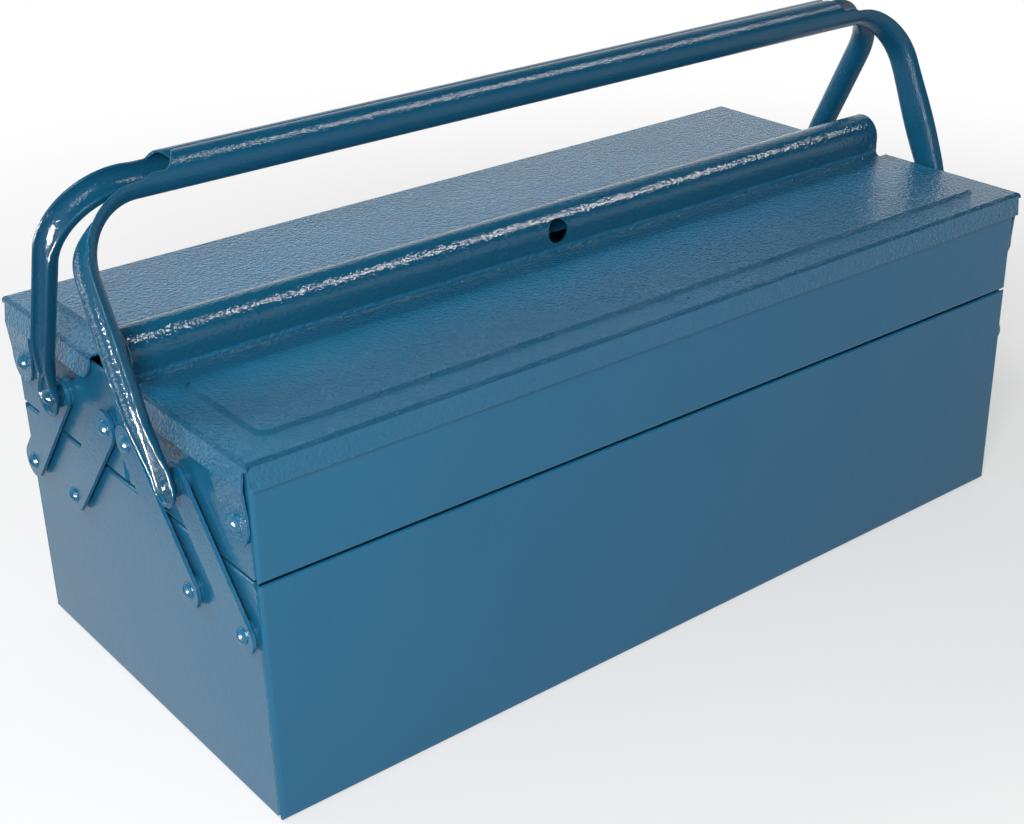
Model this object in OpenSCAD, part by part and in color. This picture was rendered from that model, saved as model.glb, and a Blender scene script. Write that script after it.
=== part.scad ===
// Cantilever tool box of painted sheet steel: a deep open base box, two shallow
// trays that swing up and out on four arms each, a hinged lid on each tray and
// two U-shaped carrying handles that lean together and nest at the top.
// X runs along the box, -Y is its front, +Z is up. Sizes are in millimetres.
// The front and rear halves share their modules: a half is drawn on the +Y side,
// and the front one is its mirror image.

/* [Base box] */
// Length of the base box and of the trays
box_l = 426; // [400:2:460]
// Width of the base box, front to back
box_w = 200; // [190:1:220]
// Height of the base box
base_h = 105.4; // [95:0.1:120]
// Thickness of the sheet steel
sheet = 1; // [0.8:0.1:1.2]
// Height of the doubled rim round the base box
base_hem = 10; // [6:1:14]
// Outer radius of the bends in the sheet
bend_r = 2; // [1.6:0.1:3]

/* [Trays] */
// Gap between the base box's rim and a tray
tray_gap = 0.6; // [0.5:0.1:3]
// Height of a tray's walls
tray_h = 46.2; // [40:0.2:46.4]
// Height of the doubled rim round a tray
tray_hem = 6; // [4:1:8]
// Gap between the two closed trays
middle_gap = 0.8; // [0.4:0.1:2]
// Number of compartments in a tray
compartments = 3; // [2:1:5]

/* [Arms] */
// Spacing of the outer and inner arms, and the distance that each arm leans in
arm_pitch = 40.5; // [38:0.5:41]
// Distance of the outer arm's foot and of the lid hinge from the box's edge
arm_inset = 10; // [9:0.5:11]
// Distance of the arms' lower rivets below the base box's rim
arm_drop = 23.8; // [20:0.1:30]
// Distance of the arms' upper rivets above a tray's underside
pivot_rise = 22.7; // [22:0.1:25]
// Width of an arm
arm_w = 15; // [14:0.2:17]
// Thickness of an arm
arm_t = 1.6; // [1.2:0.1:2]

/* [Lids] */
// Height of a lid's top above the tray's underside
lid_rise = 49.8; // [49.6:0.1:52]
// Gap between a tray's walls and the lid's flanges
lid_gap = 0.6; // [0.4:0.1:1]
// Height of a lid's flanges
flange_h = 10.8; // [8:0.2:12]
// Height of the raised panel
panel_h = 1.3; // [0.6:0.1:1.6]
// Width of the slope round the raised panel
panel_slope = 2; // [1.5:0.5:4]
// Radius of the hinge ears
ear_r = 9; // [8:0.2:9.4]
// Outer radius of the ridge along the front lid
ridge_r = 10.2; // [9:0.2:11]
// Radius of the padlock hole in the ridge
lock_r = 5.5; // [4:0.5:6]

/* [Handles] */
// Outer radius of the front handle's bar
front_bar_r = 7.65; // [7.4:0.05:8]
// Outer radius of the rear handle's bar, which nests in the front one
rear_bar_r = 6.7; // [6.2:0.1:6.8]
// Half width of the front handle's legs
front_leg_w = 9.2; // [8:0.1:10]
// Depth of the trough in the front handle's legs
front_leg_depth = 5.5; // [5:0.1:6.5]
// Half width of the rear handle's legs
rear_leg_w = 6.4; // [6:0.1:8]
// Depth of the trough in the rear handle's legs
rear_leg_depth = 7.2; // [5:0.1:7.5]
// Distance of the handle bars from their rivets
bar_h = 111.2; // [105:0.1:125]
// Angle at which the handles lean together
handle_lean = 24.8; // [24.6:0.1:25.2]
// Height above the rivets at which the bend from bar to leg has its centre
bend_z = 79.3; // [76:0.1:82]
// Thickness of the handles' sheet
handle_sheet = 1.2; // [1:0.1:1.4]

/* [Rivets] */
// Radius of the rivet shanks
rivet_r = 2.5; // [2:0.1:3]
// Radius of the domed rivet heads
head_r = 3.8; // [3.4:0.1:5]
// Running clearance on the radius, between a shank and its hole
run_gap = 0.05; // [0.02:0.01:0.08]

/* [Hidden] */
$fn = 96;

// Paint colours
wall_blue = "#35698c";
lid_blue = "#7b93a5";
deep_blue = "#155a80";
handle_blue = "#0b4a72";

// Pivots, as distances from the middle plane and heights
half_l = box_l / 2;
half_w = box_w / 2;
outer_y = half_w - arm_inset;
inner_y = outer_y - arm_pitch;
top_y = inner_y - arm_pitch;
tray_z = base_h + tray_gap;
low_z = base_h - arm_drop;
pivot_z = tray_z + pivot_rise;
lid_z = tray_z + lid_rise;
tray_w = half_w - middle_gap / 2;

// Stack of pieces on each end wall, outwards
end_gap = 0.1;
arm_washer_t = 1.7;
ear_washer_t = 0.5;
washer_r = 6;
arm_x = half_l + arm_washer_t + end_gap;
arm_out = arm_x + arm_t;
foot_x = arm_out + 3.1;
foot_out = foot_x + handle_sheet;
ear_x = half_l + lid_gap;
spacer_r = 5.5;
hole_r = rivet_r + run_gap;
shop_head_r = 4;
shop_head_t = 1.4;
head_h = 2;
handle_head_h = 2.4;

// Lid outline
flare = 0.8;
end_flare = 1.2;
lid_w = half_w + lid_gap + sheet;
lid_x = ear_x + sheet;
flange_z = lid_z - flange_h;
tab_y = 19.3;
tab_r = 7;
ear_y = outer_y + ear_r;
ear_in = 76.5;
plate_x = half_l - 4.5;
ridge_left = half_l - 1;

// Ridge along the front lid, and the lip along the rear lid
ridge_y = 6.2;
ridge_z = lid_z + 8.9;
ridge_foot = 2.3;
ridge_skirt = lid_z + 1.2;
lock_x = -3.9;
lock_z = lid_z + 9.9;
lip_y = 5.2;
lip_h = 2.8;

// Handle outline, with the rivet at the origin: the bend, the foot, the heights at which the
// leg is widest, starts to fade and is narrowest, and the curl of the bar
bend_x = half_l - 16.3;
loft_x = 190;
foot_r = 8.6;
foot_bend = 2.2;
foot_z = 4;
fade_z = 32;
narrow_z = 13;
narrowing = 0.86;
wide_z = 50;
curl_x = 186;
curl_r = 6;
front_curl = 75;
rear_curl = 135;
nest_y = 1;

// Steps across and along the skin of a leg, the height kept for its straight rim, and how far
// it stays inside both faces of the sheet so that it joins the bar and the foot cleanly
wall_steps = 6;
bend_steps = 9;
fade_steps = 7;
tip = 0.2;
ease = 0.1;

// ---------- helpers ----------

// Both ends of the box
module both_ends() {
    for (side = [0, 1]) mirror([side, 0, 0]) children();
}

// The front half is the mirror image of the rear one
module half(front) {
    mirror([0, front ? 1 : 0, 0]) children();
}

// A flat outline in Y and Z, extruded along X from x0 to x1
module along_x(x0, x1) {
    translate([x0, 0, 0]) rotate([90, 0, 90]) linear_extrude(x1 - x0) children();
}

// A flat outline in X and Z, extruded along Y from y0 to y1
module along_y(y0, y1) {
    translate([0, y1, 0]) rotate([90, 0, 0]) linear_extrude(y1 - y0) children();
}

// Rectangle with round corners, centred
module round_rect(l, w, r) {
    square([l - 2 * r, w], center = true);
    square([l, w - 2 * r], center = true);
    for (x = [-1, 1], y = [-1, 1]) translate([x * (l / 2 - r), y * (w / 2 - r)]) circle(r);
}

// Part of a ring of outer radius r and wall t, from angle a0 to a1
module arc_band(r, t, a0, a1) {
    intersection() {
        difference() {
            circle(r);
            circle(r - t);
        }
        polygon(concat([[0, 0]], [for (i = [0:4]) let (a = a0 + (a1 - a0) * i / 4) 2 * r * [cos(a), sin(a)]]));
    }
}

// Domed rivet along X: shop head inside the wall, shank, and dome seated at x1
module rivet(x1, dome_h) {
    wall_in = half_l - sheet;
    cap_r = (head_r * head_r + dome_h * dome_h) / (2 * dome_h);
    rotate([0, 90, 0]) {
        translate([0, 0, wall_in - shop_head_t]) cylinder(r = shop_head_r, h = shop_head_t);
        translate([0, 0, wall_in - shop_head_t]) cylinder(r = rivet_r, h = x1 + 0.5 - wall_in + shop_head_t);
        translate([0, 0, x1]) rotate_extrude() intersection() {
            translate([0, dome_h - cap_r]) circle(cap_r);
            square([head_r, dome_h]);
        }
    }
}

// Ring along X from x0 to x1
module ring(r, x0, x1) {
    rotate([0, 90, 0]) translate([0, 0, x0]) difference() {
        cylinder(r = r, h = x1 - x0);
        translate([0, 0, -1]) cylinder(r = hole_r, h = x1 - x0 + 2);
    }
}

// Hole along X through whatever lies beyond the inner face of the end walls
module end_hole(y, z) {
    translate([half_l - 5, y, z]) rotate([0, 90, 0]) cylinder(r = hole_r, h = 20);
}

// ---------- pans: base box and trays ----------

// Section of a pan: floor, bends, walls and rims doubled inwards under a round bead
module pan_section(w, h, hem) {
    translate([-w / 2 + bend_r, 0]) square([w - 2 * bend_r, sheet]);
    for (side = [0, 1]) mirror([side, 0]) {
        translate([w / 2 - bend_r, bend_r]) arc_band(bend_r, sheet, 270, 360);
        translate([w / 2 - sheet, bend_r]) square([sheet, h - sheet - bend_r]);
        translate([w / 2 - 2 * sheet, h - hem]) square([sheet, hem - sheet]);
        translate([w / 2 - sheet, h - sheet]) arc_band(sheet, sheet, 0, 180);
    }
}

// Outside of a pan's section, filled
module pan_outside(w, h) {
    translate([-w / 2 + bend_r, 0]) square([w - 2 * bend_r, h]);
    translate([-w / 2, bend_r]) square([w, h - bend_r]);
    for (side = [-1, 1]) translate([side * (w / 2 - bend_r), bend_r]) circle(bend_r);
}

// Open pan: two channels crossed, trimmed to round corners
module pan(l, w, h, hem) {
    intersection() {
        union() {
            along_x(-l / 2, l / 2) pan_section(w, h, hem);
            along_y(-w / 2, w / 2) pan_section(l, h, hem);
        }
        along_x(-l / 2, l / 2) pan_outside(w, h);
        along_y(-w / 2, w / 2) pan_outside(l, h);
        linear_extrude(h) round_rect(l, w, bend_r);
    }
}

// Triangular relief cut in an end wall, in the corner that has its point at y, z
module corner_relief(y, z, wide, tall) {
    along_x(half_l - bend_r - 0.5, half_l + 1) polygon([[y, z], [y - wide, z], [y, z + tall]]);
}

// Shallow joint line on an end wall, where the bent edge of the long wall ends
module joint_line(y, z0, z1) {
    translate([half_l - 0.35, y, z0]) cube([1, 0.3, z1 - z0]);
}

module base_box() {
    relief_y = half_w - sheet - 0.2;
    color(wall_blue) difference() {
        pan(box_l, box_w, base_h, base_hem);
        both_ends() for (front = [0, 1]) half(front) {
            end_hole(outer_y, low_z);
            end_hole(inner_y, low_z);
            corner_relief(relief_y, -0.1, 4, 3);
            corner_relief(relief_y, base_h + 0.1, 3.5, -3);
            joint_line(half_w - 2.4, 5, base_h - 4);
        }
    }
}

module base_rivets() {
    color(deep_blue) both_ends() for (front = [0, 1], y = [inner_y, outer_y]) half(front)
        translate([0, y, low_z]) rivet(arm_out + end_gap, head_h);
}

module base_washers() {
    color(deep_blue) both_ends() for (front = [0, 1], y = [inner_y, outer_y]) half(front)
        translate([0, y, low_z]) ring(washer_r, half_l, half_l + arm_washer_t);
}

module tray(front) {
    relief_y = half_w - sheet - 0.2;
    color(deep_blue) half(front) difference() {
        translate([0, middle_gap / 2 + tray_w / 2, tray_z]) pan(box_l, tray_w, tray_h, tray_hem);
        both_ends() {
            for (y = [top_y, inner_y, outer_y]) end_hole(y, pivot_z);
            corner_relief(relief_y, tray_z - 0.1, 3.5, 2.6);
            joint_line(half_w - 2.4, tray_z + 4, tray_z + tray_h - 4);
        }
    }
}

// Crosswise partitions, each with a foot flange on the tray's floor
module tray_dividers(front) {
    bay = (box_l - 2 * sheet) / compartments;
    side_gap = 0.2;
    y0 = middle_gap / 2 + 2 * sheet + side_gap;
    y1 = half_w - 2 * sheet - side_gap;
    height = tray_h - tray_hem - 2 * sheet;
    color(deep_blue) half(front) for (i = [1:compartments - 1])
        translate([-half_l + sheet + i * bay, y0, tray_z + sheet]) {
            translate([-sheet / 2, 0, 0]) cube([sheet, y1 - y0, height]);
            translate([-sheet / 2, 0, 0]) cube([8, y1 - y0, sheet]);
        }
}

module tray_rivets(front) {
    color(deep_blue) half(front) both_ends()
        translate([0, top_y, pivot_z]) rivet(arm_out + end_gap, head_h);
}

module tray_washers(front) {
    color(deep_blue) half(front) both_ends() {
        for (y = [top_y, inner_y]) translate([0, y, pivot_z]) ring(washer_r, half_l, half_l + arm_washer_t);
        translate([0, outer_y, pivot_z]) ring(washer_r, half_l, half_l + ear_washer_t);
    }
}

module handle_rivets(front) {
    color(handle_blue) half(front) both_ends()
        translate([0, inner_y, pivot_z]) rivet(foot_out + end_gap, handle_head_h);
}

module handle_spacers(front) {
    color(handle_blue) half(front) both_ends()
        translate([0, inner_y, pivot_z]) ring(spacer_r, arm_out + end_gap, foot_x);
}

module lid_rivets(front) {
    color(deep_blue) half(front) both_ends()
        translate([0, outer_y, pivot_z]) rivet(lid_x + end_gap, head_h);
}

// ---------- arms ----------

// Flat strip with round ends from its foot at (y, low_z), leaning in by the arm pitch
module arm(y) {
    length = norm([arm_pitch, pivot_z - low_z]);
    lean = atan2(pivot_z - low_z, -arm_pitch);
    color(wall_blue) translate([0, y, low_z]) rotate([lean, 0, 0]) difference() {
        along_x(arm_x, arm_out) {
            translate([0, -arm_w / 2]) square([length, arm_w]);
            for (centre = [0, length]) translate([centre, 0]) circle(arm_w / 2);
        }
        for (centre = [0, length]) end_hole(centre, 0);
    }
}

// ---------- lids ----------

// Section of the flat plate and the long flange, in Y and Z
module plate_section() {
    translate([tab_y, lid_z - sheet]) square([lid_w - bend_r - tab_y, sheet]);
    translate([lid_w - bend_r, lid_z - bend_r]) arc_band(bend_r, sheet, 0, 90);
}

module long_flange_section() {
    polygon([
        [lid_w, lid_z - bend_r],
        [lid_w + flare, flange_z],
        [lid_w + flare - sheet, flange_z],
        [lid_w - sheet, lid_z - bend_r]
    ]);
}

// Section of the ridge: foot curve, upright wall, half round top and skirt
module ridge_section() {
    wall_y = ridge_y + ridge_r;
    foot_y = wall_y + ridge_foot;
    translate([foot_y, lid_z - sheet]) square([tab_y - foot_y, sheet]);
    translate([foot_y, lid_z + ridge_foot]) arc_band(ridge_foot + sheet, sheet, 180, 270);
    translate([wall_y - sheet, lid_z + ridge_foot]) square([sheet, ridge_z - lid_z - ridge_foot]);
    translate([ridge_y, ridge_z]) arc_band(ridge_r, sheet, 0, 180);
    translate([ridge_y - ridge_r, ridge_skirt]) square([sheet, ridge_z - ridge_skirt]);
}

// Section of the rear lid's inner edge, turned up in a low lip
module lip_section() {
    translate([lip_y + bend_r, lid_z - sheet]) square([tab_y - lip_y - bend_r, sheet]);
    translate([lip_y + bend_r, lid_z - sheet + bend_r]) arc_band(bend_r, sheet, 180, 270);
    translate([lip_y, lid_z - sheet + bend_r]) square([sheet, lip_h + sheet - bend_r]);
}

// Section across the end of a lid, in X and Z: bend, flared flange and flat ear
module end_section() {
    ear_z = pivot_z + 4;
    translate([lid_x - bend_r, lid_z - bend_r]) arc_band(bend_r, sheet, 0, 90);
    polygon([
        [lid_x, lid_z - bend_r],
        [lid_x + end_flare, flange_z],
        [lid_x, ear_z],
        [lid_x, pivot_z - ear_r - 1],
        [ear_x, pivot_z - ear_r - 1],
        [ear_x, ear_z],
        [ear_x + end_flare, flange_z],
        [ear_x, lid_z - bend_r]
    ]);
}

// Outline of a lid's end, seen along X: top strip, flange with its round inner end, and ear
module end_outline() {
    top_z = lid_z - bend_r - 0.8;
    reach = norm([outer_y - ear_in, flange_z - pivot_z]);
    turn = atan2(flange_z - pivot_z, ear_in - outer_y) + acos(ear_r / reach);
    translate([tab_y, top_z]) square([lid_w - bend_r - tab_y, lid_z - top_z]);
    intersection() {
        translate([lid_w - bend_r, lid_z - bend_r]) circle(bend_r);
        translate([lid_w - 2 * bend_r, top_z]) square([2 * bend_r, 2 * bend_r]);
    }
    translate([tab_y + tab_r, flange_z + tab_r]) circle(tab_r);
    translate([tab_y, flange_z + tab_r]) square([tab_r, top_z - flange_z - tab_r + 0.5]);
    translate([tab_y + tab_r, flange_z]) square([ear_y - tab_y - tab_r, top_z - flange_z + 0.5]);
    translate([outer_y, pivot_z]) circle(ear_r);
    polygon([
        [ear_in, flange_z + 1],
        [ear_in, flange_z],
        [outer_y + ear_r * cos(turn), pivot_z + ear_r * sin(turn)],
        [outer_y, pivot_z],
        [ear_y, pivot_z],
        [ear_y, flange_z + 1]
    ]);
}

// Low block with sloping sides and round corners, standing on a straight root
module panel_block(l, w) {
    r = 6;
    translate([0, 0, -0.5]) linear_extrude(0.5) round_rect(l, w, r);
    hull() {
        linear_extrude(0.01) round_rect(l, w, r, $fn = 32);
        translate([0, 0, panel_h - 0.01]) linear_extrude(0.01)
            round_rect(l - 2 * panel_slope, w - 2 * panel_slope, r - panel_slope, $fn = 32);
    }
}

// Lid with a raised panel that covers y0 to y1 and reaches panel_x to each side
module lid(front, y0, y1, panel_x) {
    color(lid_blue) half(front) difference() {
        union() {
            along_x(bend_r - lid_x, lid_x - bend_r) plate_section();
            along_x(-half_l, half_l) long_flange_section();
            if (front) along_x(-ridge_left, plate_x) ridge_section();
            else along_x(-plate_x, plate_x) lip_section();
            both_ends() intersection() {
                along_y(tab_y - 1, lid_w + 1) end_section();
                along_x(lid_x - bend_r, lid_x + end_flare + 1) end_outline();
            }
            translate([0, (y0 + y1) / 2, lid_z]) panel_block(2 * panel_x, y1 - y0);
        }
        translate([0, (y0 + y1) / 2, lid_z - sheet]) panel_block(2 * panel_x, y1 - y0);
        both_ends() end_hole(outer_y, pivot_z);
        if (front) translate([lock_x, ridge_y + ridge_r - 4, lock_z]) rotate([-90, 0, 0]) cylinder(r = lock_r, h = 6);
    }
}

// ---------- handles ----------

// Half round trough along X from x0 to x1, open upwards, with its rims at height z
module trough(r, x0, x1, z) {
    along_x(x0, x1) translate([0, z]) arc_band(r, handle_sheet, 180, 360);
}

// Outline across a leg in Y and N, where N points from its floor to its open side: half width a,
// rim height h and bend radius r; the back of the sheet first, then its inside, as one ring
function wall_ring(a, h, r) =
    let (
        turn = h - tip > r ? 90 : acos(1 - (h - tip) / r),
        end_step = (h - r * (1 - cos(turn))) / sin(turn) - ease,
        flat = max(a - r * sin(turn) - (h - r * (1 - cos(turn))) / tan(turn), 0.1),
        bends = [for (i = [0:wall_steps]) turn * i / wall_steps],
        back = concat(
            [for (b = bends) [flat + r * sin(b), r * (1 - cos(b))] + ease * [-sin(b), cos(b)]],
            [[flat + r * sin(turn) + end_step * cos(turn), r * (1 - cos(turn)) + end_step * sin(turn)]
                + ease * [-sin(turn), cos(turn)]]
        ),
        normals = concat([for (b = bends) [-sin(b), cos(b)]], [[-sin(turn), cos(turn)]]),
        last = wall_steps + 1,
        inside = [for (i = [0:last]) back[i] + (handle_sheet - 2 * ease) * normals[i]]
    )
    concat(
        [for (i = [last:-1:0]) [-back[i][0], back[i][1]]],
        back,
        [for (i = [last:-1:0]) inside[i]],
        [for (p = inside) [-p[0], p[1]]]
    );

// Faces of a skin over equal rings of n points, with a cap at each end. A cap is a row of
// four-sided faces from the back of the sheet to its inside
function skin_faces(rings, n) = concat(
    [for (i = [0:n / 2 - 2]) [i, i + 1, n - 2 - i, n - 1 - i]],
    [for (i = [0:n / 2 - 2]) let (k = (rings - 1) * n) [k + n - 1 - i, k + n - 2 - i, k + i + 1, k + i]],
    [for (k = [0:rings - 2], j = [0:n - 1]) [k * n + j, (k + 1) * n + j, (k + 1) * n + (j + 1) % n]],
    [for (k = [0:rings - 2], j = [0:n - 1]) [k * n + j, (k + 1) * n + (j + 1) % n, k * n + (j + 1) % n]]
);

// Value that goes smoothly through a list of [place, value] pairs
function smooth(place, pairs) =
    let (
        i = max([for (k = [0:len(pairs) - 2]) place >= pairs[k][0] ? k : 0]),
        u = min(max((place - pairs[i][0]) / (pairs[i + 1][0] - pairs[i][0]), 0), 1)
    )
    pairs[i][1] + (pairs[i + 1][1] - pairs[i][1]) * (1 - cos(180 * u)) / 2;

// Bend and leg in one skin: the bar's half round opens, and flattens into the foot. It starts
// a little inside the bar and ends a little inside the foot's round end. A station holds the
// floor's X and Z, the angle turned, and the section there
module handle_leg(r, leg_w, leg_depth) {
    let_in = 0.7;
    leg_r = min(leg_w - 0.1, leg_depth);
    floor_r = bar_h - r - bend_z;
    reach = norm([foot_x - bend_x, bend_z - foot_z]);
    lean = asin(floor_r / reach) - atan((foot_x - bend_x) / (bend_z - foot_z));
    leg_top = [bend_x + floor_r * cos(lean), bend_z - floor_r * sin(lean)];
    half_widths = [[foot_z, foot_r], [narrow_z, narrowing * leg_w], [wide_z, leg_w], [leg_top[1], (r + leg_w) / 2]];
    bend_radii = [[foot_z, foot_bend], [fade_z, leg_r], [leg_top[1], (r + leg_r) / 2]];
    bar_stations = [for (u = [-0.1, 0.5, 1])
        [loft_x + (bend_x - loft_x) * u, bar_h - r, 0, r, smooth(u, [[0, r], [1, leg_depth]]), r - 0.1]];
    bend_stations = [for (i = [1:bend_steps]) let (u = i / bend_steps, turn = (90 + lean) * u)
        [bend_x + floor_r * sin(turn), bend_z + floor_r * cos(turn), turn,
            smooth(u, [[0, r], [1, (r + leg_w) / 2]]), leg_depth, smooth(u, [[0, r - 0.1], [1, (r + leg_r) / 2]])]];
    heights = concat([wide_z + 14, wide_z, wide_z - 10],
        [for (i = [0:fade_steps]) fade_z + (foot_z - fade_z) * i / fade_steps], [-let_in]);
    leg_stations = [for (z = heights) let (u = min(max((fade_z - z) / (fade_z - foot_z), 0), 1))
        [max(foot_x, foot_x + (z - foot_z) * (leg_top[0] - foot_x) / (leg_top[1] - foot_z)), z,
            90 + lean * (1 - u), smooth(z, half_widths),
            foot_bend + (leg_depth - foot_bend) * cos(90 * u), smooth(z, bend_radii)]];
    stations = concat(bar_stations, bend_stations, leg_stations);
    rings = [for (s = stations) wall_ring(s[3], s[4], s[5])];
    n = len(rings[0]);
    polyhedron(
        [for (k = [0:len(stations) - 1], p = rings[k]) let (s = stations[k])
            [s[0] + p[1] * sin(s[2]), p[0], s[1] + p[1] * cos(s[2])]],
        skin_faces(len(stations), n)
    );
}

// Round end of the foot, a shallow dish below the rivet's height
module handle_foot() {
    flat = foot_r - foot_bend;
    inside = foot_bend - handle_sheet;
    translate([foot_x, 0, 0]) rotate([0, 90, 0]) rotate([0, 0, -90]) rotate_extrude(angle = 180)
        polygon(concat(
            [[0, 0]], [for (a = [0:15:90]) [flat + foot_bend * sin(a), foot_bend * (1 - cos(a))]],
            [for (a = [90:-15:0]) [flat + inside * sin(a), foot_bend - inside * cos(a)]], [[0, handle_sheet]]
        ));
}

// Upper part of the bar, curled over to the given angle, with hollowed ends
module bar_curl(r, angle) {
    difference() {
        along_x(-curl_x, curl_x) translate([0, bar_h]) arc_band(r, handle_sheet, 0, angle);
        both_ends() {
            translate([curl_x, 0, bar_h + curl_r]) rotate([90, 0, 0]) cylinder(r = curl_r, h = 60, center = true);
            translate([curl_x - curl_r, -30, bar_h + curl_r]) cube([60, 60, 20]);
        }
    }
}

// Handle with its rivet axis along X through the origin
module handle_shape(r, curl, leg_w, leg_depth) {
    difference() {
        union() {
            trough(r, -loft_x, loft_x, bar_h);
            both_ends() {
                handle_leg(r, leg_w, leg_depth);
                handle_foot();
            }
            bar_curl(r, curl);
        }
        both_ends() end_hole(0, 0);
    }
}

module front_handle() {
    color(handle_blue) half(1) difference() {
        translate([0, inner_y, pivot_z]) rotate([handle_lean, 0, 0])
            handle_shape(front_bar_r, front_curl, front_leg_w, front_leg_depth);
        translate([-300, nest_y - 100, pivot_z]) cube([600, 100, 200]);
    }
}

module rear_handle() {
    color(handle_blue) translate([0, inner_y, pivot_z])
        rotate([handle_lean, 0, 0]) handle_shape(rear_bar_r, rear_curl, rear_leg_w, rear_leg_depth);
}

// ---------- assembly ----------

module front_lid() { lid(1, 28.5, 87, 200 * box_l / 426); }
module rear_lid() { lid(0, 28.5, 91, 202 * box_l / 426); }

base_box();
base_rivets();
base_washers();
half(1) mirror([1, 0, 0]) arm(outer_y);  // front_outer_arm_left
half(1) arm(outer_y);  // front_outer_arm_right
half(1) mirror([1, 0, 0]) arm(inner_y);  // front_inner_arm_left
half(1) arm(inner_y);  // front_inner_arm_right
mirror([1, 0, 0]) arm(outer_y);  // rear_outer_arm_left
arm(outer_y);  // rear_outer_arm_right
mirror([1, 0, 0]) arm(inner_y);  // rear_inner_arm_left
arm(inner_y);  // rear_inner_arm_right
tray(1);  // front_tray
tray_dividers(1);  // front_tray_dividers
tray_rivets(1);  // front_tray_rivets
tray_washers(1);  // front_tray_washers
handle_rivets(1);  // front_handle_rivets
handle_spacers(1);  // front_handle_spacers
lid_rivets(1);  // front_lid_rivets
front_lid();
front_handle();
tray(0);  // rear_tray
tray_dividers(0);  // rear_tray_dividers
tray_rivets(0);  // rear_tray_rivets
tray_washers(0);  // rear_tray_washers
handle_rivets(0);  // rear_handle_rivets
handle_spacers(0);  // rear_handle_spacers
lid_rivets(0);  // rear_lid_rivets
rear_lid();
rear_handle();
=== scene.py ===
# %% [markdown]
# # A cantilever tool box in painted sheet steel
#
# The box is a deep steel tray with two shallow trays that swing up on arms, a hinged lid on each, and two
# pressed handles that nest at the top. It is modelled as sheet about a millimetre thick, painted in blue
# stoved enamel. The solid parts come ready made as a fixed frame, and this lesson gives them their looks:
# first the camera, then the handles, whose soft pressed form needs a finer skin, then the enamel and the
# light.

# %% Load the solid parts
import math

import bmesh
import bpy
import numpy as np
from mathutils import Matrix, Vector


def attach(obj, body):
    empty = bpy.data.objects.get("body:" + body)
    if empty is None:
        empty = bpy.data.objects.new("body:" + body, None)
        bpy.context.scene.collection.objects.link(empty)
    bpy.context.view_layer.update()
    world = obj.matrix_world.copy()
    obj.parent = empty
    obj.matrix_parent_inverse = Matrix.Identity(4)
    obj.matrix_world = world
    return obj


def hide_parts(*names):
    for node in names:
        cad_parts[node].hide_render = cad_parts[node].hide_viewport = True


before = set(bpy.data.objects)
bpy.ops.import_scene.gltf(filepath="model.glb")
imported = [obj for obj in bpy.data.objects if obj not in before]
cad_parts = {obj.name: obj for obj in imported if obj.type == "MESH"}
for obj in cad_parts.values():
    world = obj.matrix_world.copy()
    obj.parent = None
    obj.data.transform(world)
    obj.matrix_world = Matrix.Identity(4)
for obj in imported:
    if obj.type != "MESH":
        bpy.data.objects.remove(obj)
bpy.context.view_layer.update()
MM = 0.001

# %% [markdown]
# ## The camera
#
# The photograph was taken from the front left, from above. A camera can be aimed by hand, but here its place
# was worked out from the edges of the box in the picture, so that the corners land close to where the picture
# has them. The focal length is kept in pixels of the 1024 pixel wide picture and turned to millimetres of a
# 36 mm sensor.

# %% Camera at the photograph's viewing angle
PICTURE_W = 1024
SENSOR_W = 36.0
FOCAL_PIXELS = 1687.7
CAMERA_PLACE = Vector((-454.28, -559.11, 424.99)) * MM
CAMERA_AZIMUTH, CAMERA_ELEVATION, CAMERA_ROLL = -37.871, 26.260, -1.277
NEAREST = 0.01


def turned_camera(azimuth, elevation, roll):
    """Matrix whose columns are the camera's right, up and back directions, from three angles in degrees."""
    a, e, r = (math.radians(angle) for angle in (azimuth, elevation, roll))
    back = Vector((math.sin(a) * math.cos(e), -math.cos(a) * math.cos(e), math.sin(e)))
    right = Vector((0, 0, 1)).cross(back).normalized()
    up = back.cross(right)
    right, up = right * math.cos(r) + up * math.sin(r), up * math.cos(r) - right * math.sin(r)
    return Matrix((right, up, back)).transposed()


camera_data = bpy.data.cameras.new("camera")
camera_data.sensor_width = SENSOR_W
camera_data.lens = FOCAL_PIXELS * SENSOR_W / PICTURE_W
camera_data.clip_start = NEAREST
camera = bpy.data.objects.new("camera", camera_data)
camera.matrix_world = Matrix.Translation(CAMERA_PLACE) @ turned_camera(
    CAMERA_AZIMUTH, CAMERA_ELEVATION, CAMERA_ROLL).to_4x4()
bpy.context.scene.collection.objects.link(camera)
bpy.context.scene.camera = camera
print("lens", round(camera_data.lens, 2), "mm")

# %% [markdown]
# ## The handles' skin
#
# Each handle is pressed from one strip. Along the bar the strip is a half round trough whose outer edge curls
# over, in the bend it opens, and down the leg it flattens into a dished round foot. The solid parts hold the
# same form in flat facets, so here it is drawn again as one smooth surface: a section across the strip is
# carried along the handle's floor line, and the foot turns the last section half round about its rivet.
# Lengths in this step are in millimetres, with the rivet at the origin. SLACK keeps a bend's radius a little
# under the half width, so that some of the floor stays level.

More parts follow.
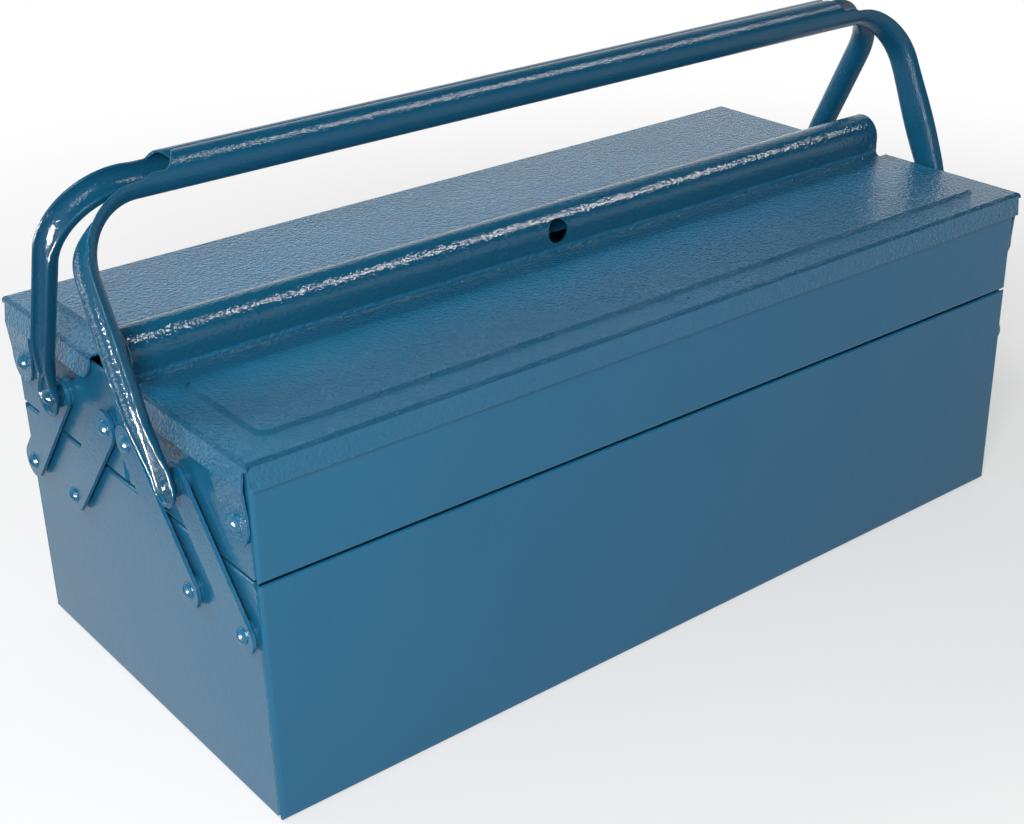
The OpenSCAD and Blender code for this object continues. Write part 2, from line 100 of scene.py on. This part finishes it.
# %% Outline of a handle
RIVET_Y, RIVET_Z, LEAN = 49.5, 128.7, math.radians(24.8)
BAR_RISE, BEND_X, BEND_Z, FOOT_X = 111.2, 196.7, 79.3, 219.5
FOOT_RADIUS, FOOT_BEND, FOOT_TOP = 8.6, 2.2, 4.0
FADE_Z, NARROW_Z, WIDE_Z, NARROWING = 32.0, 13.0, 50.0, 0.86
CURL_START, CURL_END, OPENING_X = 178.0, 186.0, 190.0
SHEET = 1.2
NEST_GAP = 1.0
BAR_START, BAR_STEP, CURL_ROWS, BEND_ROWS, LEG_ROWS, FADE_ROWS, FOOT_TURNS = 4, 8, 24, 37, 20, 30, 25
SIDE_POINTS, RIM_ANGLES, NEST_POINTS = 26, (45, 90, 135), 400
RIM_SPREAD = 5
SLACK = 0.1
WELD, SLIVER = 0.002, 0.001


def eased(place, pairs):
    """Value at place on a curve level at each (place, value) pair: v0 + (v1 - v0) (1 - cos(pi u)) / 2."""
    places, values = np.array(pairs, float).T
    i = np.clip(np.searchsorted(places, place, side="right") - 1, 0, len(places) - 2)
    u = np.clip((place - places[i]) / (places[i + 1] - places[i]), 0, 1)
    return values[i] + (values[i + 1] - values[i]) * (1 - np.cos(np.pi * u)) / 2


def handle_stations(bar_r, leg_w, leg_depth, curl):
    """Rows of floor x, floor z, angle turned, half width, depth, bend radius and curl, from the bar's middle
    down the right leg to its rivet. The bend's floor is x = BEND_X + R sin(t), z = BEND_Z + R cos(t)."""
    leg_bend = min(leg_w - SLACK, leg_depth)
    floor_r = BAR_RISE - bar_r - BEND_Z
    reach = math.hypot(FOOT_X - BEND_X, BEND_Z - FOOT_TOP)
    lean = math.asin(floor_r / reach) - math.atan((FOOT_X - BEND_X) / (BEND_Z - FOOT_TOP))
    top_x, top_z = BEND_X + floor_r * math.cos(lean), BEND_Z - floor_r * math.sin(lean)
    join_w, join_bend = (bar_r + leg_w) / 2, (bar_r + leg_bend) / 2

    x = np.concatenate((np.arange(BAR_START, CURL_START, BAR_STEP),
                        np.linspace(CURL_START, BEND_X, CURL_ROWS)))
    bar = np.stack((x, x * 0 + BAR_RISE - bar_r, x * 0, x * 0 + bar_r,
                    eased(x, [(OPENING_X, bar_r), (BEND_X, leg_depth)]), x * 0 + bar_r - SLACK,
                    eased(x, [(CURL_START, curl), (CURL_END, 0)])), axis=1)
    u = np.linspace(0, 1, BEND_ROWS)[1:]
    turn = (math.pi / 2 + lean) * u
    bend = np.stack((BEND_X + floor_r * np.sin(turn), BEND_Z + floor_r * np.cos(turn), turn,
                     eased(u, [(0, bar_r), (1, join_w)]), u * 0 + leg_depth,
                     eased(u, [(0, bar_r - SLACK), (1, join_bend)]), u * 0), axis=1)
    z = np.concatenate((np.linspace(top_z, FADE_Z, LEG_ROWS)[1:],
                        np.linspace(FADE_Z, FOOT_TOP, FADE_ROWS)[1:], (FOOT_TOP / 2, 0.0)))
    fade = np.clip((FADE_Z - z) / (FADE_Z - FOOT_TOP), 0, 1)
    leg = np.stack((np.maximum(FOOT_X, FOOT_X + (z - FOOT_TOP) * (top_x - FOOT_X) / (top_z - FOOT_TOP)), z,
                    math.pi / 2 + lean * (1 - fade),
                    eased(z, [(FOOT_TOP, FOOT_RADIUS), (NARROW_Z, NARROWING * leg_w), (WIDE_Z, leg_w),
                              (top_z, join_w)]),
                    FOOT_BEND + (leg_depth - FOOT_BEND) * np.cos(np.pi / 2 * fade),
                    eased(z, [(FOOT_TOP, FOOT_BEND), (FADE_Z, leg_bend), (top_z, join_bend)]), z * 0), axis=1)
    return np.concatenate((bar, bend, leg))


def strip_side(stations, sign, nested):
    """One side of the section: distance y across and height n over the floor, for the outer face, the rim and
    the inner face. Along the arc length s the strip is level, then bends with radius r through end_turn, then
    goes straight on. Where the front handle nests over the rear one, its inner side ends NEST_GAP short of
    the middle plane, and the end is smoothed along the handle by the least and then the mean share of near
    stations."""
    half_w, depth, r, curl = (stations[:, i:i + 1] for i in (3, 4, 5, 6))
    over = sign > 0
    end_turn = np.where(depth > r, np.pi / 2, np.arccos(np.clip(1 - depth / r, -1, 1)))
    level = np.maximum(half_w - r * np.sin(end_turn), SLACK)
    end_turn = end_turn + (np.radians(curl) if over else 0)
    wall = np.maximum(depth - r, 0) * (curl < 1)

    def point(s):
        turn = np.clip((s - level) / r, 0, end_turn)
        rest = np.maximum(s - level - r * end_turn, 0)
        y = np.minimum(s, level) + r * np.sin(turn) + rest * np.cos(turn)
        return y, r * (1 - np.cos(turn)) + rest * np.sin(turn), turn

    length = level + r * end_turn + wall - SHEET / 2
    if nested and not over:
        s = length * np.linspace(0, 1, NEST_POINTS)
        y, n, _ = point(s)
        z = stations[:, 1:2] + n * np.cos(stations[:, 2:3])
        clear = RIVET_Y - y * math.cos(LEAN) - z * math.sin(LEAN) > NEST_GAP + SHEET / 2
        share = np.mean(clear, axis=1)
        for pick in (np.min, np.mean):
            near = np.pad(share, RIM_SPREAD, mode="edge")
            share = pick(np.lib.stride_tricks.sliding_window_view(near, 2 * RIM_SPREAD + 1), axis=1)
        length = length * share[:, None]
    y, n, turn = point(length * np.linspace(0, 1, SIDE_POINTS))
    across, up = -np.sin(turn), np.cos(turn)
    rim = np.radians(RIM_ANGLES)
    middle_y, middle_n = (y + SHEET / 2 * across)[:, -1:], (n + SHEET / 2 * up)[:, -1:]
    rim_y = middle_y + SHEET / 2 * (np.sin(rim) * up[:, -1:] - np.cos(rim) * across[:, -1:])
    rim_n = middle_n - SHEET / 2 * (np.sin(rim) * across[:, -1:] + np.cos(rim) * up[:, -1:])
    outer, inner = np.stack((y, n), axis=2), np.stack((y + SHEET * across, n + SHEET * up), axis=2)
    rims = np.stack((rim_y, rim_n), axis=2)
    return tuple(part * (sign, 1) for part in (outer, rims, inner))


def section_rings(stations, nested):
    """Closed rings of the section, from the left rim over the outer face to the right rim and back inside."""
    left_outer, left_rim, left_inner = strip_side(stations, -1, nested)
    outer, rim, inner = strip_side(stations, 1, nested)
    return np.concatenate((left_outer[:, :0:-1], outer, rim, inner[:, ::-1], left_inner[:, 1:],
                           left_rim[:, ::-1]), axis=1)


def grid_faces(rows, columns, start, closed):
    """Four-sided faces over a grid of points numbered row by row from start, joined round where closed."""
    spans = columns if closed else columns - 1
    row, column = np.meshgrid(np.arange(rows - 1), np.arange(spans), indexing="ij")
    after = (column + 1) % columns
    corners = (row * columns + column, (row + 1) * columns + column, (row + 1) * columns + after,
               row * columns + after)
    return start + np.stack(corners, axis=2).reshape(-1, 4)


def handle_skin(bar_r, leg_w, leg_depth, curl, nested):
    """Points and faces of a whole handle: the strip P = floor + y across + n N, with N = (sin t, 0, cos t),
    and the two feet, each the last section's right half turned through 180 degrees about the rivet."""
    stations = handle_stations(bar_r, leg_w, leg_depth, curl)
    rings = section_rings(stations, nested)
    y, n = rings[:, :, 0], rings[:, :, 1]
    x0, z0, turn = (stations[:, i:i + 1] for i in (0, 1, 2))
    right = np.stack((x0 + n * np.sin(turn), y, z0 + n * np.cos(turn)), axis=2)
    strip = np.concatenate((right[::-1] * (-1, 1, 1), right))
    middle = SIDE_POINTS - 1
    half = rings[-1, middle:middle + 2 * SIDE_POINTS + len(RIM_ANGLES)]
    around = np.radians(np.linspace(0, 180, FOOT_TURNS))[:, None]
    foot = np.stack((FOOT_X + half[:, 1] + 0 * around, half[:, 0] * np.cos(around),
                     -half[:, 0] * np.sin(around)), axis=2)
    points = []
    faces = []
    start = 0
    for grid, closed in ((strip, True), (foot, False), (foot * (-1, 1, 1), False)):
        points.append(grid.reshape(-1, 3))
        faces.append(grid_faces(grid.shape[0], grid.shape[1], start, closed))
        start += points[-1].shape[0]
    return np.concatenate(points), np.concatenate(faces)


def handle_piece(name, front, **shape):
    """A closed handle mesh, leaned over and set on its rivets; the front one leans the other way."""
    points, faces = handle_skin(nested=front, **shape)
    x, y, z = points.T
    y, z = (RIVET_Y + y * math.cos(LEAN) - z * math.sin(LEAN),
            RIVET_Z + y * math.sin(LEAN) + z * math.cos(LEAN))
    points = np.stack((x, -y if front else y, z), axis=1) * MM
    mesh = bpy.data.meshes.new(name)
    mesh.from_pydata(points.tolist(), [], faces.tolist())
    work = bmesh.new()
    work.from_mesh(mesh)
    bmesh.ops.remove_doubles(work, verts=work.verts, dist=WELD * MM)
    bmesh.ops.dissolve_degenerate(work, edges=work.edges, dist=SLIVER * MM)
    bmesh.ops.recalc_face_normals(work, faces=work.faces)
    open_edges = sum(not edge.is_manifold for edge in work.edges)
    volume = work.calc_volume(signed=True)
    work.to_mesh(mesh)
    work.free()
    mesh.polygons.foreach_set("use_smooth", [True] * len(mesh.polygons))
    piece = bpy.data.objects.new(name, mesh)
    bpy.context.scene.collection.objects.link(piece)
    print(name, len(mesh.polygons), "faces", open_edges, "open edges", round(volume / MM ** 3), "mm3")
    return piece


# %% The two handles
handles = {
    "front": handle_piece("front_handle_skin", True, bar_r=7.65, leg_w=9.2, leg_depth=5.5, curl=75),
    "rear": handle_piece("rear_handle_skin", False, bar_r=6.7, leg_w=6.4, leg_depth=7.2, curl=135),
}
for side, piece in handles.items():
    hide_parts(side + "_handle")
    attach(piece, side + "_handle_body")

# %% [markdown]
# ## Helpers for materials
#
# Colours are written as the hex values that a paint chart or a picture shows, which are sRGB, and one
# function turns them to the linear values that the renderer needs. Nodes are added by one small function that
# takes their settings and links.


# %% Colour and node helpers
def linear(hex_colour):
    """sRGB hex string to linear RGBA: each channel c becomes ((c + 0.055) / 1.055) ** 2.4 above 0.04045."""
    channels = [int(hex_colour[i:i + 2], 16) / 255 for i in (1, 3, 5)]
    return tuple(c / 12.92 if c <= 0.04045 else ((c + 0.055) / 1.055) ** 2.4 for c in channels) + (1.0,)


def add(tree, kind, links=None, **settings):
    """Adds a node; settings set its attributes, and links joins its inputs to outputs or sets values."""
    node = tree.nodes.new(kind)
    for name, value in settings.items():
        setattr(node, name, value)
    for name, value in (links or {}).items():
        if isinstance(value, bpy.types.NodeSocket):
            tree.links.new(value, node.inputs[name])
        else:
            node.inputs[name].default_value = value
    return node


print("white is", linear("#ffffff")[:3])

# %% [markdown]
# ## The enamel
#
# The paint is taken for stoved enamel, which is dipped or sprayed on and baked. It comes out thick and
# glossy, with the small bumps that painters call orange peel. To the eye that gives a deep colour under a
# clear reflection, and in the photograph the bumps break many reflections into specks.
#
# Two noise patterns make the bumps: a main one a little over a millimetre across, and a finer one. Both are
# far deeper than in real paint, and on the lids they are also a third coarser, so that they show in a picture
# of this size. On the handles they are a fifth finer. ENAMEL_IOR and HANDLE_IOR are lower than the 1.5 of
# real enamel, which keeps the white surroundings from greying the paint. Paint rubbed pale in flecks along
# the edges is a guess.

# %% Stoved enamel
PATCH_SIZE = 60 * MM
PEEL_SIZE = 1.2 * MM
FINE_PEEL_SIZE = 0.5 * MM
FINE_PEEL_SHARE = 0.3
ENAMEL_IOR, HANDLE_IOR = 1.38, 1.3
GLOSS_SPREAD, WORN_ROUGHNESS = 0.06, 0.2
ENAMEL, DEEP_ENAMEL, RUBBED = "#206e94", "#1c678d", "#5f93ab"
HANDLE_ENAMEL, HANDLE_DEEP, BROWNISH, SLOPE_SHADE = "#165877", "#135170", "#3f3833", "#0a3246"
COLOUR_A, COLOUR_B, MIXED = 6, 7, 2
EDGE_WIDTH, EDGE_SAMPLES = 0.5 * MM, 4
EDGE_FROM, EDGE_TO = 0.98, 0.8
FLECK_SIZE = 2.5 * MM
FLECK_FROM, FLECK_TO = 0.5, 0.62
BROWN_PLACE, BROWN_SIZE = (0.213, 0.044, 0.141), (0.004, 0.008, 0.006)
BROWN_CORE = 0.7
GRAIN_SIZE = 1.2 * MM
GRAIN_FROM, GRAIN_TO = 0.42, 0.55
RIDGE_FOOT_Z = 159.0
SLOPE_UPWARD, SLOPE_SPREAD, SLOPE_DULLING = 0.62, 0.36, 0.9


def stoved_enamel(name, colour, deep, rough, peel, scale=1.0, ior=ENAMEL_IOR, shade=0.0, top_peel=None):
    """Glossy baked enamel: base colour and gloss wander a little, edges are rubbed pale and dull, and the
    bump is orange peel, peel millimetres deep. On a lid shade paints darker shade on the low slopes, and a
    given top_peel is the ridge's depth, and the ridge then takes the handles' deeper colour as painted shade.
    COLOUR_A, COLOUR_B and MIXED number the colour sockets of a Mix node."""
    material = bpy.data.materials.new(name)
    material.use_nodes = True
    tree = material.node_tree
    tree.nodes.clear()
    place = add(tree, "ShaderNodeTexCoord").outputs["Object"]
    patches = add(tree, "ShaderNodeTexNoise", {"Vector": place, "Scale": 1 / PATCH_SIZE, "Detail": 3.0})
    paint_mix = add(tree, "ShaderNodeMix", {
        "Factor": patches.outputs["Fac"], COLOUR_A: linear(colour), COLOUR_B: linear(deep)}, data_type="RGBA")
    main = add(tree, "ShaderNodeTexNoise", {
        "Vector": place, "Scale": 1 / (PEEL_SIZE * scale), "Detail": 1.0})
    fine = add(tree, "ShaderNodeTexNoise", {
        "Vector": place, "Scale": 1 / (FINE_PEEL_SIZE * scale), "Detail": 1.0})
    height = add(tree, "ShaderNodeMath", {
        0: fine.outputs["Fac"], 1: FINE_PEEL_SHARE, 2: main.outputs["Fac"]}, operation="MULTIPLY_ADD")

    # On the lids only the front one's ridge lies higher than RIDGE_FOOT_Z. The photograph shows it deeper in
    # colour and smoother than the flats, so it has a peel of its own, and it is drawn in the handles' deeper
    # colour: a painted shade, standing in for the darker look of what the ridge reflects.
    levels = add(tree, "ShaderNodeSeparateXYZ", {0: place})
    low = add(tree, "ShaderNodeMath", {0: levels.outputs[2], 1: RIDGE_FOOT_Z * MM}, operation="LESS_THAN")
    ridge_shade_share = 0.0 if top_peel is None else 1.0
    top_peel = peel if top_peel is None else top_peel
    depth = add(tree, "ShaderNodeMath", {0: low.outputs[0], 1: (peel - top_peel) * MM, 2: top_peel * MM},
                operation="MULTIPLY_ADD")
    bump = add(tree, "ShaderNodeBump", {
        "Height": height.outputs[0], "Strength": 1.0, "Distance": depth.outputs[0]})
    high = add(tree, "ShaderNodeMath", {0: low.outputs[0], 1: -ridge_shade_share, 2: ridge_shade_share},
               operation="MULTIPLY_ADD")
    ridge_shade_mix = add(tree, "ShaderNodeMix", {
        "Factor": high.outputs[0], COLOUR_A: paint_mix.outputs[MIXED],
        COLOUR_B: linear(HANDLE_ENAMEL)}, data_type="RGBA")

    # An edge is where the normal of a rounded copy of the surface leaves the flat one; flecks break it up.
    rounded = add(tree, "ShaderNodeBevel", {"Radius": EDGE_WIDTH}, samples=EDGE_SAMPLES)
    flat = add(tree, "ShaderNodeNewGeometry").outputs["Normal"]
    alike = add(tree, "ShaderNodeVectorMath", {0: rounded.outputs[0], 1: flat}, operation="DOT_PRODUCT")
    edge = add(tree, "ShaderNodeMapRange", {
        "Value": alike.outputs["Value"], "From Min": EDGE_FROM, "From Max": EDGE_TO})
    flecks = add(tree, "ShaderNodeTexNoise", {"Vector": place, "Scale": 1 / FLECK_SIZE, "Detail": 4.0})
    broken = add(tree, "ShaderNodeMapRange", {
        "Value": flecks.outputs["Fac"], "From Min": FLECK_FROM, "From Max": FLECK_TO})
    worn = add(tree, "ShaderNodeMath", {0: edge.outputs[0], 1: broken.outputs[0]}, operation="MULTIPLY")
    worn_mix = add(tree, "ShaderNodeMix", {
        "Factor": worn.outputs[0], COLOUR_A: ridge_shade_mix.outputs[MIXED], COLOUR_B: linear(RUBBED)},
                   data_type="RGBA")

    # The photograph shows brownish patches by the handles' feet at the left end. Their cause is not known,
    # and here they are only brownish grains in the paint. They are placed by position: a distance in |x| and
    # |y| puts them at both ends, and at the right end they are a guess.
    folded = add(tree, "ShaderNodeVectorMath", {0: place}, operation="ABSOLUTE")
    offset = add(tree, "ShaderNodeVectorMath", {0: folded.outputs[0], 1: BROWN_PLACE}, operation="SUBTRACT")
    offset = add(tree, "ShaderNodeVectorMath", {0: offset.outputs[0], 1: BROWN_SIZE}, operation="DIVIDE")
    far_off = add(tree, "ShaderNodeVectorMath", {0: offset.outputs[0]}, operation="LENGTH")
    inside = add(tree, "ShaderNodeMapRange", {
        "Value": far_off.outputs["Value"], "From Min": 1.0, "From Max": BROWN_CORE})
    grains = add(tree, "ShaderNodeTexNoise", {"Vector": place, "Scale": 1 / GRAIN_SIZE, "Detail": 2.0})
    grains = add(tree, "ShaderNodeMapRange", {
        "Value": grains.outputs["Fac"], "From Min": GRAIN_FROM, "From Max": GRAIN_TO})
    browned = add(tree, "ShaderNodeMath", {0: inside.outputs[0], 1: grains.outputs[0]}, operation="MULTIPLY")
    brown_mix = add(tree, "ShaderNodeMix", {
        "Factor": browned.outputs[0], COLOUR_A: worn_mix.outputs[MIXED], COLOUR_B: linear(BROWNISH)},
                   data_type="RGBA")

    # The low slopes pressed into a lid show as thin dark lines in the photograph, so here they are drawn
    # darker and duller than the paint beside them. The darker colour is a painted shade, standing in for what
    # those slopes reflect.
    upward = add(tree, "ShaderNodeSeparateXYZ", {0: flat})
    sloping = add(tree, "ShaderNodeMath", {0: upward.outputs[2], 1: SLOPE_UPWARD, 2: SLOPE_SPREAD},
                  operation="COMPARE")
    slope = add(tree, "ShaderNodeMath", {0: sloping.outputs[0], 1: low.outputs[0]}, operation="MULTIPLY")
    shaded = add(tree, "ShaderNodeMath", {0: slope.outputs[0], 1: shade}, operation="MULTIPLY")
    shade_mix = add(tree, "ShaderNodeMix", {
        "Factor": shaded.outputs[0], COLOUR_A: brown_mix.outputs[MIXED], COLOUR_B: linear(SLOPE_SHADE)},
                    data_type="RGBA")
    gloss = add(tree, "ShaderNodeMath", {0: shaded.outputs[0], 1: -SLOPE_DULLING, 2: 0.5},
                operation="MULTIPLY_ADD")

    dull = add(tree, "ShaderNodeMath", {0: patches.outputs["Fac"], 1: GLOSS_SPREAD,
                                        2: rough - GLOSS_SPREAD / 2}, operation="MULTIPLY_ADD")
    dull = add(tree, "ShaderNodeMath", {0: worn.outputs[0], 1: WORN_ROUGHNESS, 2: dull.outputs[0]},
               operation="MULTIPLY_ADD")
    shader = add(tree, "ShaderNodeBsdfPrincipled", {
        "Base Color": shade_mix.outputs[MIXED], "Roughness": dull.outputs[0], "IOR": ior,
        "Specular IOR Level": gloss.outputs[0], "Normal": bump.outputs["Normal"]})
    add(tree, "ShaderNodeOutputMaterial", {"Surface": shader.outputs["BSDF"]})
    return material


wall_enamel = stoved_enamel("stoved_enamel_walls", ENAMEL, DEEP_ENAMEL, rough=0.16, peel=0.12)
lid_enamel = stoved_enamel("stoved_enamel_lids", ENAMEL, DEEP_ENAMEL, rough=0.08, peel=0.85, scale=1.3,
                           shade=0.4, top_peel=0.3)
handle_enamel = stoved_enamel("stoved_enamel_handles", HANDLE_ENAMEL, HANDLE_DEEP, rough=0.07, peel=0.2,
                              scale=0.8, ior=HANDLE_IOR)
print("three enamels")


# %% Give each solid part its enamel
def paint(target, material):
    """Puts one material in every slot of a piece."""
    mesh = target.data
    if not mesh.materials:
        mesh.materials.append(material)
    for slot in range(len(mesh.materials)):
        mesh.materials[slot] = material


for node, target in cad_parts.items():
    if node.endswith("_lid"):
        paint(target, lid_enamel)
    elif "handle" in node:
        paint(target, handle_enamel)
    else:
        paint(target, wall_enamel)
for piece in handles.values():
    paint(piece, handle_enamel)
print("painted", len(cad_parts), "parts")

# %% [markdown]
# ## Floor, backdrop and light
#
# The photograph has a white background. Here a key lamp at the front left and a second one at the back left
# light the box, and the world adds a soft even light. The floor is pale and keeps the box's shadow. A glow in
# the floor and the white of the world are seen alike by the camera, in reflections and through glass, and
# they add no diffuse light.
#
# The sharp highlights come from two more lamps that show in reflections alone, so they don't brighten the
# paint's colour. A small low one at the left is linked to the handles and rivets, and a long one high at the
# front right to the handles and lids. Dark cards, also seen in reflections alone, keep the white surroundings
# from greying the paint, as flags do in a studio. Lamps, cards and floor aren't part of the box.


# %% Floor
WHITE = (1, 1, 1, 1)
PAPER = (0.6, 0.6, 0.6, 1)
FLOOR_GLOW, FULL = 0.45, 1.0
WHITE_FROM, WHITE_BY = 0.3, 0.9
FLOOR_HALF, FLOOR_Z = 3.0, -0.0005


def seen_directly(tree):
    """Output that is 1 for camera, glossy and transmission rays, and 0 for all others."""
    rays = add(tree, "ShaderNodeLightPath")
    total = add(tree, "ShaderNodeMath", {0: rays.outputs["Is Camera Ray"], 1: rays.outputs["Is Glossy Ray"]},
                operation="ADD", use_clamp=True)
    total = add(tree, "ShaderNodeMath", {0: total.outputs[0], 1: rays.outputs["Is Transmission Ray"]},
                operation="ADD", use_clamp=True)
    return total.outputs[0]


def stage_plane(name, corners, material):
    """Flat four-cornered sheet that isn't part of the object."""
    mesh = bpy.data.meshes.new(name)
    mesh.from_pydata(corners, [], [(0, 1, 2, 3)])
    mesh.materials.append(material)
    plane = bpy.data.objects.new(name, mesh)
    bpy.context.scene.collection.objects.link(plane)
    return plane


floor_material = bpy.data.materials.new("pale_floor")
floor_material.use_nodes = True
tree = floor_material.node_tree
tree.nodes.clear()
glow = add(tree, "ShaderNodeEmission", {"Color": WHITE, "Strength": FLOOR_GLOW})
full = add(tree, "ShaderNodeEmission", {"Color": WHITE, "Strength": FULL})
place = add(tree, "ShaderNodeTexCoord").outputs["Object"]
distance = add(tree, "ShaderNodeVectorMath", {0: place}, operation="LENGTH")
far = add(tree, "ShaderNodeMapRange", {
    "Value": distance.outputs["Value"], "From Min": WHITE_FROM, "From Max": WHITE_BY},
          interpolation_type="SMOOTHSTEP")
paper = add(tree, "ShaderNodeBsdfDiffuse", {"Color": PAPER})
near = add(tree, "ShaderNodeAddShader", {0: paper.outputs[0], 1: glow.outputs[0]})
lifted = add(tree, "ShaderNodeMixShader", {0: far.outputs[0], 1: near.outputs[0], 2: full.outputs[0]})
seen = add(tree, "ShaderNodeMixShader", {0: seen_directly(tree), 1: paper.outputs[0], 2: lifted.outputs[0]})
add(tree, "ShaderNodeOutputMaterial", {"Surface": seen.outputs[0]})
stage_plane("floor", [(x * FLOOR_HALF, y * FLOOR_HALF, FLOOR_Z) for x, y in
                      ((-1, -1), (1, -1), (1, 1), (-1, 1))], floor_material)

# %% Dark cards
NEARLY_BLACK = (0.01, 0.01, 0.01, 1)
black = bpy.data.materials.new("dark_card")
black.use_nodes = True
tree = black.node_tree
tree.nodes.clear()
dark = add(tree, "ShaderNodeBsdfDiffuse", {"Color": NEARLY_BLACK})
add(tree, "ShaderNodeOutputMaterial", {"Surface": dark.outputs[0]})
CARDS = {
    "left_card": [(-0.32, -0.1, 0), (-0.32, 1.0, 0), (-0.32, 1.0, 0.08), (-0.32, -0.1, 0.08)],
    "front_card": [(-0.3, -0.55, 0.4), (1.3, -0.55, 0.4), (1.3, -0.55, 1.45), (-0.3, -0.55, 1.45)],
    "right_card": [(1.3, -0.55, 0.4), (1.3, 0.3, 0.4), (1.3, 0.3, 1.45), (1.3, -0.55, 1.45)],
    "top_card": [(-3, -3, 1.45), (1.65, -3, 1.45), (1.65, 1.65, 1.45), (-3, 1.65, 1.45)],
}
for name, corners in CARDS.items():
    card = stage_plane(name, corners, black)
    for rays_seen in ("visible_camera", "visible_diffuse", "visible_shadow", "visible_transmission"):
        setattr(card, rays_seen, False)

# %% World
SOFT_LIGHT = 0.25
world = bpy.data.worlds.new("studio")
bpy.context.scene.world = world
world.use_nodes = True
tree = world.node_tree
tree.nodes.clear()
soft = add(tree, "ShaderNodeBackground", {"Color": WHITE, "Strength": SOFT_LIGHT})
white = add(tree, "ShaderNodeBackground", {"Color": WHITE, "Strength": FULL})
seen = add(tree, "ShaderNodeMixShader", {0: seen_directly(tree), 1: soft.outputs[0], 2: white.outputs[0]})
add(tree, "ShaderNodeOutputWorld", {"Surface": seen.outputs[0]})


# %% Lamps
def soft_lamp(name, place, aim, along, size, power):
    """Area lamp at place, facing aim, with its length parallel to the direction called along."""
    lamp = bpy.data.lights.new(name, "AREA")
    lamp.shape = "RECTANGLE"
    lamp.size, lamp.size_y = size
    lamp.energy = power
    holder = bpy.data.objects.new(name, lamp)
    back = (Vector(place) - Vector(aim)).normalized()
    up = back.cross(Vector(along)).normalized()
    turn = Matrix((up.cross(back), up, back)).transposed().to_4x4()
    holder.matrix_world = Matrix.Translation(place) @ turn
    bpy.context.scene.collection.objects.link(holder)
    return holder


GLEAMING = {"floor_gleam": bpy.data.collections.new("handles_only"),
            "long_gleam": bpy.data.collections.new("handles_and_lids")}
for piece in handles.values():
    for group in GLEAMING.values():
        group.objects.link(piece)
for node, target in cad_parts.items():
    if node.endswith("_rivets"):
        GLEAMING["floor_gleam"].objects.link(target)
    if node.endswith("_lid"):
        GLEAMING["long_gleam"].objects.link(target)

soft_lamp("key", (-0.75, -0.75, 0.65), (0, 0, 0.1), (1, -1, 0), (0.4, 0.4), 9)
soft_lamp("back", (-0.7, 0.9, 1.0), (0, 0, 0.1), (1, 0.8, 0), (0.5, 0.5), 6.5)
for name, place, aim, size, power in (
        ("floor_gleam", (-0.55, -0.05, 0.03), (-0.22, -0.05, 0.16), (0.1, 0.1), 22),
        ("long_gleam", (0.9, -0.5, 1.22), (0.9, 0, 0.15), (1.3, 0.2), 30)):
    gleam = soft_lamp(name, place, aim, (1, 0, 0), size, power)
    gleam.light_linking.receiver_collection = GLEAMING[name]
    gleam.visible_diffuse = False
    gleam.visible_camera = False
bpy.context.scene.view_settings.view_transform = "Standard"
